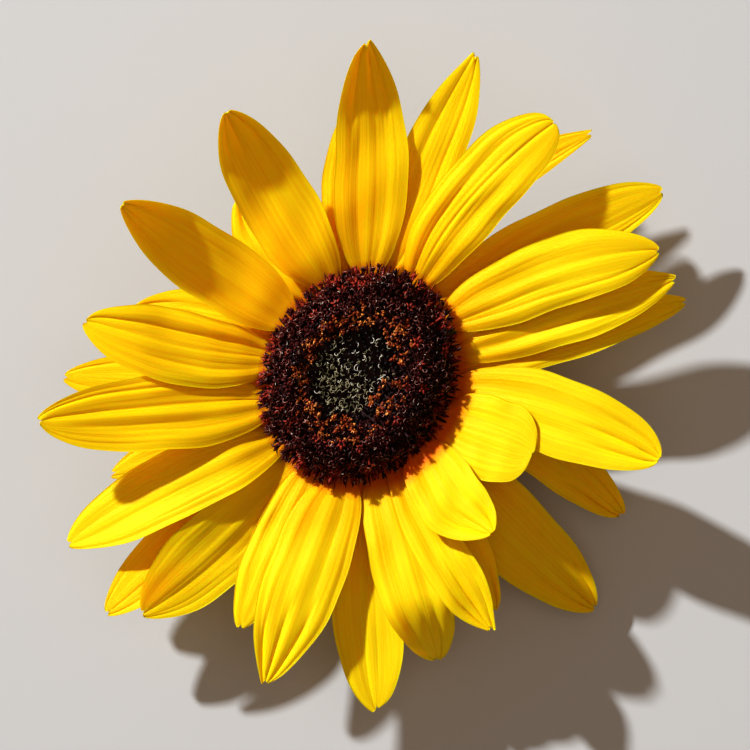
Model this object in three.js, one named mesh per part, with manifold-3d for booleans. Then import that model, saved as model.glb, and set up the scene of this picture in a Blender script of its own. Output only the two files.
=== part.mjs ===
// A cut sunflower head that lies face up on its short stem stub.
// Millimetres, +Z up. The origin is the centre of the flat cut under the stub. +Y is the top of the bloom.
// From the ground up: stem stub, receptacle, two whorls of green bracts, ray petals and disc florets.
import * as THREE from "three";
import { mergeVertices } from "three/addons/utils/BufferGeometryUtils.js";
import Module from "manifold-3d";

const wasm = await Module();
wasm.setup();

// Clearance between pieces that touch on the plant
const SEAT_GAP = 0.3;
// The bloom is a little longer one way than across it
const LONG_AZIMUTH = 60;
const LONG_SCALE = 1.055;
const SHORT_SCALE = 0.895;
const UP = new THREE.Vector3(0, 0, 1);

// Stem stub. The profile's pairs are shares of its height and of its radius.
const STEM_RADIUS = 4.6;
const STEM_HEIGHT = 8;
const STEM_PROFILE = [[0, 1], [0.35, 0.97], [0.72, 1.1], [1, 1.3]];
const STEM_SIDES = 20;

// Receptacle: a shallow cup that carries everything
const RIM_RADIUS = 22;
const RIM_BOTTOM = 15;
const RIM_TOP = 20.9;
const CUP_FOOT_RADIUS = 6.3;
const CUP_FOOT = STEM_HEIGHT + SEAT_GAP;
const CUP_CURVE = 1.25;
const CUP_STEPS = 5;
const CUP_SIDES = 36;

// Ray petals
const PETAL_THICKNESS = 0.6;
const PETAL_FOOT_WIDTH = 3.4;
const PETAL_TIP_WIDTH = 1.5;
const PETAL_FOOT_RADIUS = RIM_RADIUS + 2 * SEAT_GAP;
const LAYER_BOTTOM = 15.6;
const LAYER_STEP = 0.9;
const RIDGES = 3;
// Shares of a petal's length where its cross-sections lie
const PETAL_STATIONS = [0, 0.06, 0.16, 0.3, 0.46, 0.62, 0.78, 0.91, 1];
const PETAL_STRIPS = 6;
// Shares of the length over which a petal's foot turns to its own way, and its roll and cup come in
const FOOT_SHARE = 0.16;
const ROLL_SHARE = 0.28;
// Share of the length from which the tip nods
const NOD_SHARE = 0.65;
// Gap left between one petal and the petal it lies on
const PETAL_CLEARANCE = 0.32;
// Cell of the map of what already lies where, and how steeply a lift may fade along a petal
const MAP_CELL = 0.6;
const FADE_TO_FOOT = 0.35;
const FADE_TO_TIP = 0.09;

// One row for each ray petal, clockwise from the top of the bloom.
// layer: the order in which the petals lie on each other, 0 lowest.
// foot, tip: azimuths of the two ends in degrees. reach: distance of the tip from the bloom's axis.
// width: widest width. full: share of the length where it is widest. blunt: 1 pointed, 2 rounded.
// bow: how far the midline swings out to the left, seen from the foot.
// rise: slope at the foot in degrees. end: height of the tip above the foot. nod: how far the tip bends.
// roll: turn about the midline in degrees. cup: how far the edges stand up. ridge: height of the ridges.
const PETAL_VALUES = "layer foot tip reach width full blunt bow rise end nod roll cup ridge".split(" ");
const PETALS = [
  [2, 91, 89, 76.1, 17, 0.46, 1, -0.9, 2, 19, -3, 6, 1, 0.3],
  [1, 79.5, 70.3, 77.3, 14.3, 0.46, 1, 0, 10, 16, 0, -6, 0.3, 0.3],
  [3, 58.5, 52.5, 72.9, 16.8, 0.57, 1.8, 3.4, 30, 12, 2, 0, -0.4, 0.55],
  [0, 71, 46.5, 76.5, 9.2, 0.5, 1, 3.8, 10, 4, 0, 0, 0.3, 0.3],
  [1, 42, 31.4, 81.2, 14.9, 0.55, 1.35, 1.1, 8, 1, 1, 4, 0.3, 0.4],
  [3, 28, 22.7, 73.9, 16.2, 0.55, 1.3, 2.4, 24, 9, 2, 0, -0.6, 0.45],
  [2, 10.5, 16.9, 75, 14.5, 0.5, 1.1, 0.4, 18, 6, 1, 5, 0.2, 0.7],
  [1, -2.5, 12.7, 76.4, 12.4, 0.44, 1.15, 1.1, 12, 2, 1, -8, 0.2, 0.4],
  [3, -13.5, -15.8, 70.7, 18.1, 0.5, 1.5, 2.4, 28, 13, 0, 0, 0.2, 0.35],
  [5, -30.5, -24.5, 43.2, 19.4, 0.6, 2, 0, 22, 7, 0, 0, 0.3, 0.3],
  [0, -20, -28.2, 68.2, 12.5, 0.55, 1.5, 2.5, 3, -5, 0, 0, 0.4, 0.3],
  [0, -43, -44.9, 77, 18.7, 0.5, 1.2, -1.1, 3, -9.5, 0, 0, 0.6, 0.3],
  [5, -48.5, -50.3, 46.8, 15.8, 0.5, 1.25, -1.2, 30, 12, 0, 0, 0.6, 0.4],
  [1, -54, -60.6, 62.8, 12, 0.5, 1.2, 0.5, 12, 3, 0, 0, 0.4, 0.3],
  [3, -64, -63, 65.2, 11.8, 0.65, 0.95, -1, 26, 9, 1, 0, 0.5, 0.45],
  [2, -74, -75, 68, 16.4, 0.55, 1.5, -0.3, 24, 11, 14, 0, -0.4, 0.45],
  [1, -84, -87.4, 77.7, 16.2, 0.6, 1.15, -0.8, 12, 3, 0, 0, 0.8, 0.35],
  [3, 263, 252.7, 74.4, 18, 0.46, 0.92, 0, 24, 10, 2, 0, -0.5, 0.45],
  [2, 242.5, 244.5, 64.5, 11, 0.5, 1.2, -0.9, 18, 6, 1, 6, 0.3, 0.4],
  [1, 234.5, 227.5, 74.3, 18.6, 0.6, 1.2, 0.8, 6, 0, 0, -16, 0.6, 0.5],
  [0, 220, 223, 80.2, 13.6, 0.6, 1.2, 0, 8, 2, 0, 8, 0.4, 0.35],
  [1, 214.5, 210, 77.6, 16.2, 0.5, 1.2, -1.2, 8, 3, 0, 12, 0.8, 0.45],
  [0, 202.5, 201.7, 61.6, 11.5, 0.5, 1, 0, 8, 1, 0, 0, 0.3, 0.3],
  [4, 192, 188.2, 74.4, 17.4, 0.46, 1.2, 0.5, 15, 17, 1, 0, 0.4, 0.6],
  [0, 183, 180.4, 68.3, 13, 0.5, 1.2, 0, 8, 2, 0, 0, 0.3, 0.3],
  [5, 167.5, 169, 63.9, 16.8, 0.5, 1.4, 1.5, 6, 13, 3, 0, 0.3, 0.5],
  [0, 154.5, 163.5, 54.4, 12.5, 0.5, 1, -1.2, 8, 0, 0, 0, 0.2, 0.3],
  [6, 143.5, 144.5, 66.4, 16.6, 0.46, 1.1, -0.2, 0, 22, -1, 0, 0.8, 0.3],
  [0, 131, 123.5, 50.4, 15.6, 0.5, 1.2, 0, 8, 0, 0, 0, 0.2, 0.3],
  [2, 114.5, 117, 67.1, 17.2, 0.5, 1.2, 0.5, 4, 20, -1, 0, 0.9, 0.3],
  [0, 104.5, 92, 62.1, 12, 0.5, 1, 0, 8, 1, 0, 0, 0.3, 0.3],
].map((row) => Object.fromEntries(row.map((value, n) => [PETAL_VALUES[n], value])));

// Bracts under the bloom. lap: degrees that an outer bract is turned, to lie over one edge of the next.
const BRACT_THICKNESS = 0.5;
const BRACT_TIP_WIDTH = 0.6;
const BRACT_STATIONS = [0, 0.22, 0.46, 0.74, 1];
const OUTER_BRACTS = 21;
const OUTER_BRACT_FOOT_RADIUS = 9.6;
const OUTER_BRACT_REACH = 36.5;
const OUTER_BRACT_FOOT_WIDTH = 2.3;
const OUTER_BRACT_WIDTH = 6.8;
const OUTER_BRACT_ARCH = 3;
const OUTER_BRACT_LAP = 14;
const INNER_BRACTS = 16;
const INNER_BRACT_FOOT_RADIUS = 18.4;
const INNER_BRACT_REACH = 37;
const INNER_BRACT_FOOT_WIDTH = 3.4;
const INNER_BRACT_WIDTHS = [6.7, 7.7];
const INNER_BRACT_DROP = 1.3;
const COLLAR_WIDTH = 4.4;
const COLLAR_THICKNESS = 0.8;

// Disc florets: pointed pyramids in spiral rows, in three zones from the edge to the eye
const DISC_RADIUS = 21.9;
const EYE_RADIUS = 8.4;
const RUST_RADIUS = 15;
const CREST_RADIUS = 15.5;
const CREST_HEIGHT = 27.4;
const EYE_HEIGHT = 24.8;
const EDGE_HEIGHT = 22;
const EDGE_LEAN = 66;
// How far each row of florets is turned on from the last, as a share of their spacing
const ROW_TWIST = 0.35;
const EDGE_ZONE = { inner: RUST_RADIUS + SEAT_GAP, outer: DISC_RADIUS, spokes: 96, rows: 6, height: 2.3 };
const RUST_ZONE = { inner: EYE_RADIUS + SEAT_GAP, outer: RUST_RADIUS, spokes: 64, rows: 6, height: 1.8 };
const EYE_ZONE = { inner: 0, outer: EYE_RADIUS, spokes: 32, rows: 6, height: 1.2 };

const radians = THREE.MathUtils.degToRad;
const OVAL = new THREE.Matrix4()
  .makeRotationZ(radians(LONG_AZIMUTH))
  .scale(new THREE.Vector3(LONG_SCALE, SHORT_SCALE, 1))
  .multiply(new THREE.Matrix4().makeRotationZ(radians(-LONG_AZIMUTH)));
const mix = THREE.MathUtils.lerp;
const clamp = THREE.MathUtils.clamp;

function polar(radius, azimuth, height = 0) {
  return new THREE.Vector3(radius * Math.cos(azimuth), radius * Math.sin(azimuth), height);
}

// Materials
const matte = (color, roughness) => new THREE.MeshStandardMaterial({ color, roughness, metalness: 0 });
const FRONT_YELLOW = matte(0xffd60a, 0.55);
const BACK_YELLOW = matte(0xf5b800, 0.6);
const LEAF_GREEN = matte(0x5c7a2e, 0.8);
const STEM_GREEN = matte(0x7d9440, 0.75);
const MAROON = matte(0x3a1512, 0.8);
const RUST = matte(0x7a3a14, 0.8);
const EYE_GREY = matte(0x3c4034, 0.85);

// Solids

// The upper and lower face of a blade whose middle surface is a grid: rows run along it, columns across it.
function bladeFaces(grid, thickness) {
  const rows = grid.length;
  const columns = grid[0].length;
  const face = (side) =>
    grid.map((row, i) =>
      row.map((point, j) => {
        const along = grid[Math.min(i + 1, rows - 1)][j].clone().sub(grid[Math.max(i - 1, 0)][j]);
        const across = row[Math.min(j + 1, columns - 1)].clone().sub(row[Math.max(j - 1, 0)]);
        const normal = along.cross(across).normalize();
        if (normal.z < 0) normal.negate();
        return point.clone().addScaledVector(normal, (side * thickness) / 2);
      }),
    );
  return { top: face(1), bottom: face(-1) };
}

function bladeGeometry(grid, thickness) {
  const rows = grid.length;
  const columns = grid[0].length;
  const lastRow = rows - 1;
  const last = columns - 1;
  const { top, bottom } = bladeFaces(grid, thickness);
  const points = [...top.flat(), ...bottom.flat()];
  const upper = (i, j) => i * columns + j;
  const lower = (i, j) => rows * columns + i * columns + j;
  const index = [];
  const quad = (a, b, c, d) => index.push(a, b, c, a, c, d);
  for (let i = 0; i < lastRow; i++) {
    for (let j = 0; j < last; j++) {
      quad(upper(i, j), upper(i + 1, j), upper(i + 1, j + 1), upper(i, j + 1));
      quad(lower(i, j), lower(i, j + 1), lower(i + 1, j + 1), lower(i + 1, j));
    }
    quad(upper(i, 0), lower(i, 0), lower(i + 1, 0), upper(i + 1, 0));
    quad(upper(i + 1, last), lower(i + 1, last), lower(i, last), upper(i, last));
  }
  for (let j = 0; j < last; j++) {
    quad(upper(0, j), upper(0, j + 1), lower(0, j + 1), lower(0, j));
    quad(upper(lastRow, j + 1), upper(lastRow, j), lower(lastRow, j), lower(lastRow, j + 1));
  }
  const geometry = new THREE.BufferGeometry().setFromPoints(points);
  geometry.setIndex(index);
  return faceOut(geometry);
}

// Turns every face round where the solid would be inside out.
function faceOut(geometry) {
  const index = geometry.index.array;
  const corner = (n) => new THREE.Vector3().fromBufferAttribute(geometry.attributes.position, index[n]);
  let volume = 0;
  for (let n = 0; n < index.length; n += 3) {
    volume += corner(n).dot(corner(n + 1).cross(corner(n + 2)));
  }
  if (volume < 0) index.reverse();
  return geometry;
}

function solid(geometry) {
  const bare = geometry.clone();
  bare.deleteAttribute("normal");
  bare.deleteAttribute("uv");
  const merged = faceOut(mergeVertices(bare));
  return new wasm.Manifold(
    new wasm.Mesh({
      numProp: 3,
      vertProperties: merged.attributes.position.array,
      triVerts: new Uint32Array(merged.index.array),
    }),
  );
}

function geometryOf(body) {
  const mesh = body.getMesh();
  return new THREE.BufferGeometry()
    .setAttribute("position", new THREE.BufferAttribute(new Float32Array(mesh.vertProperties), 3))
    .setIndex(new THREE.BufferAttribute(mesh.triVerts, 1));
}

// A solid turned about +Z from [radius, height] pairs that start and end on the axis, or close on themselves
function turned(profile, sides) {
  const points = profile.map(([radius, height]) => new THREE.Vector2(radius, height));
  return new THREE.LatheGeometry(points, sides).rotateX(Math.PI / 2);
}

// Stem and receptacle

function stemGeometry() {
  const flank = STEM_PROFILE.map(([height, radius]) => [radius * STEM_RADIUS, height * STEM_HEIGHT]);
  return turned([[0, 0], ...flank, [0, STEM_HEIGHT]], STEM_SIDES);
}

// Height of the cup's underside at a radius
function cupHeight(radius) {
  const share = clamp((radius - CUP_FOOT_RADIUS) / (RIM_RADIUS - CUP_FOOT_RADIUS), 0, 1);
  return mix(CUP_FOOT, RIM_BOTTOM, Math.pow(share, CUP_CURVE));
}

function receptacleGeometry() {
  const flank = Array.from({ length: CUP_STEPS + 1 }, (_, step) => {
    const radius = mix(CUP_FOOT_RADIUS, RIM_RADIUS, step / CUP_STEPS);
    return [radius, cupHeight(radius)];
  });
  const profile = [[0, CUP_FOOT], ...flank, [RIM_RADIUS, RIM_TOP], [0, RIM_TOP]];
  return turned(profile, CUP_SIDES).applyMatrix4(OVAL);
}

// Bracts

// A pointed green bract: widest a third of the way out, drawn out to a fine tip, with its middle sunk.
function bractGrid({ azimuth, footRadius, reach, footWidth, width, heightAt, sunk, lap }) {
  const across = polar(1, azimuth + Math.PI / 2, Math.tan(radians(lap)));
  return BRACT_STATIONS.map((share) => {
    const radius = mix(footRadius, reach, share);
    const swell = Math.sin(Math.PI * Math.pow(Math.min(share / 0.98, 1), 0.62));
    const half = Math.max(BRACT_TIP_WIDTH, mix(footWidth, 0, share) + (width - 0.6 * footWidth) * swell) / 2;
    return [-1, 0, 1].map((side) => {
      const height = heightAt(share) - (side === 0 ? sunk * (1 - share) : 0);
      return polar(radius, azimuth, height).addScaledVector(across, side * half);
    });
  });
}

// An outer bract leaves the cup near the stem, arches out and touches the ground with its tip.
function outerBractGeometry(n) {
  const foot = cupHeight(OUTER_BRACT_FOOT_RADIUS) - SEAT_GAP - BRACT_THICKNESS * 1.3;
  const tip = BRACT_THICKNESS * 0.62;
  const grid = bractGrid({
    azimuth: (n / OUTER_BRACTS) * 2 * Math.PI,
    footRadius: OUTER_BRACT_FOOT_RADIUS,
    reach: OUTER_BRACT_REACH,
    footWidth: OUTER_BRACT_FOOT_WIDTH,
    width: OUTER_BRACT_WIDTH,
    heightAt: (share) => mix(foot, tip, Math.pow(share, 2.2)) + OUTER_BRACT_ARCH * Math.sin(Math.PI * share),
    sunk: 0.35,
    lap: OUTER_BRACT_LAP,
  });
  return bladeGeometry(grid, BRACT_THICKNESS).applyMatrix4(OVAL);
}

// A thin collar that hugs the cup under its rim
function collarGeometry() {
  const outer = RIM_RADIUS - 0.4;
  const inner = outer - COLLAR_WIDTH;
  const under = (radius, depth) => [radius, cupHeight(radius) - SEAT_GAP - depth];
  const upper = 0.05;
  const lower = COLLAR_THICKNESS;
  const profile = [under(inner, upper), under(inner, lower), under(outer, lower), under(outer, upper)];
  return turned([...profile, profile[0]], CUP_SIDES);
}

// The inner bracts, fused to their collar. Every second one is broader and a little higher.
function innerBractsGeometry() {
  let body = solid(collarGeometry());
  const foot = cupHeight(INNER_BRACT_FOOT_RADIUS) - SEAT_GAP - COLLAR_THICKNESS * 0.7;
  for (let n = 0; n < INNER_BRACTS; n++) {
    const base = foot - (n % 2 ? 0 : SEAT_GAP);
    const grid = bractGrid({
      azimuth: ((n + 0.5) / INNER_BRACTS) * 2 * Math.PI,
      footRadius: INNER_BRACT_FOOT_RADIUS,
      reach: INNER_BRACT_REACH,
      footWidth: INNER_BRACT_FOOT_WIDTH,
      width: INNER_BRACT_WIDTHS[n % 2],
      heightAt: (share) => base + 1.4 * Math.sin(0.62 * Math.PI * share) - INNER_BRACT_DROP * share * share,
      sunk: 0.3,
      lap: 0,
    });
    body = body.add(solid(bladeGeometry(grid, BRACT_THICKNESS)));
  }
  return geometryOf(body).applyMatrix4(OVAL);
}

// Ray petals

// Width at a share of the length: a narrow foot, a long full blade and a blunt point
function petalWidth(share, { width, full, blunt }) {
  const foot = PETAL_FOOT_WIDTH / width;
  if (share < full) return width * mix(foot, 1, Math.pow(1 - Math.pow(1 - share / full, 2.5), 0.65));
  const out = Math.pow((share - full) / (1 - full), 2.4);
  return Math.max(PETAL_TIP_WIDTH * blunt, width * Math.pow(Math.max(0, 1 - out), 0.75 / blunt));
}

// Height of the midline above the petal's foot
function petalHeight(share, length, { rise, end, nod }) {
  const climb = length * Math.tan(radians(rise));
  const past = Math.max(0, share - NOD_SHARE) / (1 - NOD_SHARE);
  return climb * share + (end - climb) * share * share - nod * past * past;
}

// The middle surface of a petal as if it lay alone, on its layer
function petalGrid(petal) {
  const start = polar(PETAL_FOOT_RADIUS, radians(petal.foot)).applyMatrix4(OVAL);
  const finish = polar(petal.reach, radians(petal.tip));
  const chord = finish.clone().sub(start);
  const length = chord.length();
  const left = UP.clone().cross(chord).normalize();
  const middle = start.clone().lerp(finish, 0.5).addScaledVector(left, 2 * petal.bow);
  const path = new THREE.QuadraticBezierCurve3(start, middle, finish);
  const rim = UP.clone().cross(start).normalize();
  return PETAL_STATIONS.map((share) => {
    const blend = Math.min(share / FOOT_SHARE, 1);
    const sideways = UP.clone().cross(path.getTangent(share)).normalize();
    sideways.lerp(rim, 1 - blend).normalize();
    const grown = Math.min(share / ROLL_SHARE, 1);
    const turn = radians(petal.roll) * grown;
    const across = sideways.multiplyScalar(Math.cos(turn)).addScaledVector(UP, Math.sin(turn));
    const centre = path.getPoint(share);
    centre.z = LAYER_BOTTOM + petal.layer * LAYER_STEP + petalHeight(share, length, petal);
    const width = petalWidth(share, petal);
    const relief = petal.ridge * Math.sin(Math.PI * Math.pow(share, 0.6));
    return Array.from({ length: PETAL_STRIPS + 1 }, (_, j) => {
      const side = (2 * j) / PETAL_STRIPS - 1;
      const wave = relief * Math.cos(RIDGES * Math.PI * side) * (Math.abs(side) === 1 ? 0.4 : 1);
      const edge = petal.cup * side * side * grown * (width / petal.width);
      return centre.clone().addScaledVector(across, (side * width) / 2).addScaledVector(UP, wave + edge);
    });
  });
}

// Points spread over a grid's facets, each with the row it lies on
function* spread(grid) {
  const steps = [0, 0.2, 0.4, 0.6, 0.8, 1];
  for (let i = 0; i + 1 < grid.length; i++) {
    for (let j = 0; j + 1 < grid[0].length; j++) {
      for (const b of steps) {
        const near = grid[i][j].clone().lerp(grid[i][j + 1], b);
        const far = grid[i + 1][j].clone().lerp(grid[i + 1][j + 1], b);
        for (const a of steps) yield { row: i + a, point: near.clone().lerp(far, a) };
      }
    }
  }
}

// Lifts each row of a petal by what the rows near it need. A lift fades faster towards the foot.
function liftRows(grid, need) {
  const middle = Math.floor(grid[0].length / 2);
  const lifts = grid.map((row, i) => {
    const fades = need.map((most, k) => {
      const apart = row[middle].distanceTo(grid[k][middle]);
      return most - apart * (k > i ? FADE_TO_FOOT : FADE_TO_TIP);
    });
    return Math.max(0, ...fades);
  });
  grid.forEach((row, i) => row.forEach((point) => (point.z += lifts[i])));
}

// Lays the petals on each other, lowest layer first, each lifted just clear of the petals under it.
function layPetals(petals) {
  const tops = new Map();
  const cell = (value) => Math.round(value / MAP_CELL);
  const key = (point, dx = 0, dy = 0) => `${cell(point.x) + dx},${cell(point.y) + dy}`;
  const near = [[0, 0], [1, 0], [-1, 0], [0, 1], [0, -1]];
  const order = petals.map((_, n) => n).sort((a, b) => petals[a].layer - petals[b].layer);
  const grids = [];
  for (const n of order) {
    const grid = petalGrid(petals[n]);
    const need = grid.map(() => 0);
    for (const { row, point } of spread(bladeFaces(grid, PETAL_THICKNESS).bottom)) {
      for (const [dx, dy] of near) {
        const under = tops.get(key(point, dx, dy)) ?? -Infinity;
        const lift = under + PETAL_CLEARANCE - point.z;
        for (const end of [Math.floor(row), Math.ceil(row)]) need[end] = Math.max(need[end], lift);
      }
    }
    liftRows(grid, need);
    for (const { point } of spread(bladeFaces(grid, PETAL_THICKNESS).top)) {
      tops.set(key(point), Math.max(tops.get(key(point)) ?? -Infinity, point.z));
    }
    grids[n] = grid;
  }
  return grids;
}

// Disc florets

// Height of the bed that the florets stand on: a shallow eye, a raised crest and a falling edge
function discHeight(radius) {
  if (radius < CREST_RADIUS) {
    const share = clamp((radius - 0.35 * EYE_RADIUS) / (CREST_RADIUS - 0.35 * EYE_RADIUS), 0, 1);
    return mix(EYE_HEIGHT, CREST_HEIGHT, share * share * (3 - 2 * share));
  }
  return mix(CREST_HEIGHT, EDGE_HEIGHT, Math.pow((radius - CREST_RADIUS) / (DISC_RADIUS - CREST_RADIUS), 2));
}

// How far a floret leans outwards, in radians
function floretLean(radius) {
  const slope = Math.atan2(discHeight(radius - 0.4) - discHeight(Math.min(radius + 0.4, DISC_RADIUS)), 0.8);
  return mix(slope * 0.8, radians(EDGE_LEAN), Math.pow(clamp(radius / DISC_RADIUS, 0, 1), 8));
}

// A zone of the disc. Its top is a round net of places, and every second one is drawn up into a point.
// The places on its borders stay low, apart from the disc's own edge, where the points lean out.
function floretZone({ inner, outer, spokes, rows, height }) {
  const foot = RIM_TOP + SEAT_GAP;
  const isPoint = (i, j) => (i + j) % 2 === 0 && i > 0 && (i < rows || outer === DISC_RADIUS);
  const azimuth = (i, j) => ((j + i * ROW_TWIST) / spokes) * 2 * Math.PI;
  const points = [];
  for (let i = 0; i <= rows; i++) {
    for (let j = 0; j < spokes; j++) {
      const radius = mix(inner, outer, i / rows);
      const drawn = isPoint(i, j) ? height : 0;
      const lean = floretLean(radius);
      const out = radius + drawn * Math.sin(lean);
      points.push(polar(out, azimuth(i, j), discHeight(radius) + drawn * Math.cos(lean)));
    }
  }
  const top = (i, j) => i * spokes + (j % spokes);
  const outerFoot = (j) => top(rows + 1, j);
  const innerFoot = (j) => top(rows + 2, j);
  for (let j = 0; j < spokes; j++) points.push(polar(outer, azimuth(rows, j), foot));
  for (let j = 0; j < spokes; j++) points.push(polar(inner, azimuth(0, j), foot));
  const index = [];
  const quad = (a, b, c, d) => index.push(a, b, c, a, c, d);
  for (let j = 0; j < spokes; j++) {
    for (let i = 0; i < rows; i++) {
      // Each quad is split along its two low corners
      if ((i + j) % 2) quad(top(i, j), top(i + 1, j), top(i + 1, j + 1), top(i, j + 1));
      else quad(top(i + 1, j), top(i + 1, j + 1), top(i, j + 1), top(i, j));
    }
    quad(top(rows, j), outerFoot(j), outerFoot(j + 1), top(rows, j + 1));
    quad(outerFoot(j), innerFoot(j), innerFoot(j + 1), outerFoot(j + 1));
    quad(innerFoot(j), top(0, j), top(0, j + 1), innerFoot(j + 1));
  }
  const geometry = new THREE.BufferGeometry().setFromPoints(points);
  geometry.setIndex(index);
  return geometryOf(solid(geometry)).applyMatrix4(OVAL);
}

// The whole head

const head = new THREE.Group();

function add(name, geometry, material) {
  const mesh = new THREE.Mesh(geometry, material);
  mesh.name = name;
  head.add(mesh);
}

const numbered = (name, n) => `${name}_${String(n + 1).padStart(2, "0")}`;

add("stem_stub", stemGeometry(), STEM_GREEN);
add("receptacle", receptacleGeometry(), LEAF_GREEN);
for (let n = 0; n < OUTER_BRACTS; n++) add(numbered("outer_bract", n), outerBractGeometry(n), LEAF_GREEN);
add("inner_bracts", innerBractsGeometry(), LEAF_GREEN);
layPetals(PETALS).forEach((grid, n) => {
  const material = PETALS[n].layer > 0 ? FRONT_YELLOW : BACK_YELLOW;
  add(numbered("ray_petal", n), bladeGeometry(grid, PETAL_THICKNESS), material);
});
add("disc_florets_outer", floretZone(EDGE_ZONE), MAROON);
add("disc_florets_middle", floretZone(RUST_ZONE), RUST);
add("disc_florets_eye", floretZone(EYE_ZONE), EYE_GREY);

export default head;
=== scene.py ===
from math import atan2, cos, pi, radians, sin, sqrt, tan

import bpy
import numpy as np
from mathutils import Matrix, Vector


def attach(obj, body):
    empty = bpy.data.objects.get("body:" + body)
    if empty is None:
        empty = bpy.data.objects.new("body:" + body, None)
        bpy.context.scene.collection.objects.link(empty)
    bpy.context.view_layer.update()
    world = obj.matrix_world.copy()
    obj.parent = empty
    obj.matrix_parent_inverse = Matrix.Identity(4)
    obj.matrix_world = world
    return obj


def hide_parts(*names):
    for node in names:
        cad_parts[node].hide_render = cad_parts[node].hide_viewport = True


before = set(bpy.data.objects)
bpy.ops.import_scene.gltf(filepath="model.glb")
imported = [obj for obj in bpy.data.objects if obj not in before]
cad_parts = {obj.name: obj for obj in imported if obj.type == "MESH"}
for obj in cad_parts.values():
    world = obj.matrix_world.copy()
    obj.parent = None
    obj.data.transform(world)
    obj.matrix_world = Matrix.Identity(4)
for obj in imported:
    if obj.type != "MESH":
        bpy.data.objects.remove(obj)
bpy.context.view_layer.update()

# A cut sunflower head that lies face up on its stem stub.
# Metres for camera, lights and floor, and millimetres for shapes until they become a piece.
# +Z up, +Y towards the top of the bloom.

MM = 0.001
UP = np.array([0.0, 0.0, 1.0])
FULL_TURN = 2 * pi
WHITE = (1, 1, 1)
BLACK = (0, 0, 0)

# Seeded draws: for disc and hairs, for the petals, and for the folds at their tips
random = np.random.default_rng(7)
petal_random = np.random.default_rng(11)
fold_random = np.random.default_rng(5)
draw, petal_draw, fold_draw = random.uniform, petal_random.uniform, fold_random.uniform
chance = random.random

# The bloom is a little longer one way than across it
LONG_AZIMUTH = 60
LONG_SCALE = 1.055
SHORT_SCALE = 0.895
LONG_WAY = np.array([cos(radians(LONG_AZIMUTH)), sin(radians(LONG_AZIMUTH)), 0.0])
OVAL = np.diag([SHORT_SCALE, SHORT_SCALE, 1.0]) + (LONG_SCALE - SHORT_SCALE) * np.outer(LONG_WAY, LONG_WAY)

# Camera: its view is square and a little wider than the bloom
VIEW_WIDTH = 172.5 * MM
VIEW_CENTRE = (3.2 * MM, 0.0, 22 * MM)
CAMERA_HEIGHT = 1.3

# Light and floor. The lamps are discs that face the bloom.
KEY_LAMP = dict(location=(-2.13, 2.13, 1.83), size=0.16, energy=205.0, color=(1.0, 0.97, 0.9))
FILL_LAMP = dict(location=(0.2, -0.1, 1.2), size=1.2, energy=2.8, color=(1.0, 0.7, 0.46))
LAMP_TARGET = (0, 0, 0.02)
SKY_COLOUR = (1.0, 0.78, 0.58, 1)
SKY_STRENGTH = 0.18
FLOOR_COLOUR = (0.45, 0.48, 0.53, 1)
FLOOR_HALF = 4.0

# Gaps between parts that sit on each other, and over the floor
SEAT_GAP = 0.3
FLOOR_GAP = 0.02

# Stem stub
STEM_RADIUS = 4.6
STEM_HEIGHT = 8.0
STEM_PROFILE = [(0, 1), (0.35, 0.97), (0.72, 1.1), (1, 1.3)]
STEM_RIBS = 14
STEM_HAIRS = 420
PITH_RADIUS = 3.7

# Receptacle
RIM_RADIUS = 22.0
RIM_BOTTOM = 15.0
RIM_TOP = 20.9
CUP_FOOT_RADIUS = 6.3
CUP_FOOT = 8.3
CUP_CURVE = 1.25
CUP_RIBS = 42

# Ray petals
PETAL_THICKNESS = 0.36
PETAL_FOOT_WIDTH = 3.4
PETAL_TIP_WIDTH = 1.7
PETAL_FOOT_RADIUS = 22.6
LAYER_BOTTOM = 15.6
LAYER_STEP = 0.9
PETAL_ROWS = 62
PETAL_STRIPS = 60
PETAL_SHARES = 1 - (1 - np.linspace(0, 1, PETAL_ROWS)) ** 1.3
FOOT_SHARE = 0.16
ROLL_SHARE = 0.28
NOD_SHARE = 0.65
RIDGES = 3
RIDGE_SHARE = 0.5
# Powers that round the outline from foot to full width, and from there to the tip
INNER_OUTLINE = (2.5, 0.65)
OUTER_OUTLINE = (2.4, 0.92)
# Petals that are fuller on one side of their point
SKEWED_PETALS = {13: -0.15}
# Creases: number, depth, width, and the place of the outermost
CREASES = 9
CREASE_DEPTH = 0.52
CREASE_WIDTH = 0.105
CREASE_SPAN = 0.84
# Petals with fainter creases, by number, and how faint
CALM_PETALS = {1: 0.55, 9: 0.6, 10: 0.3, 11: 0.5, 12: 0.5, 13: 0.35, 14: 0.5, 15: 0.45, 16: 0.6, 18: 0.7}
CALM_PETALS |= {27: 0.5, 28: 0.45, 29: 0.4, 30: 0.55, 31: 0.5}
# All of these but one have folds at the tip: their places across, depth and width
FOLDLESS_PETAL = 10
TIP_FOLDS = (-0.52, 0.02, 0.5)
TIP_FOLD_DEPTH = 1.7
TIP_FOLD_SPREAD = 1.5
# The notched tip: the shares of its start and length, its tooth, notch and slant
TEETH_FROM = 0.93
TEETH_LENGTH = 0.07
TIP_TOOTH = 1.5
NOTCH_DEPTH = 0.7
NOTCH_WIDTH = 0.3
SLANT_DEPTH = 0.45
# Petals with a plain point, and the share of the tooth that they keep
PLAIN_TIPS = {9, 13, 28, 30}
PLAIN_TOOTH = 0.2
# Waves of a petal's edges, as shares of its width, and heights of its relief
EDGE_WAVE = 0.022
FINE_EDGE_WAVE = 0.012
VEIN_HEIGHT = 0.04
FLUTTER_HEIGHT = 0.45
SWAY_HEIGHT = 0.4
ROLL_HEIGHT = 0.35
PUCKER_HEIGHT = 0.17
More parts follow.
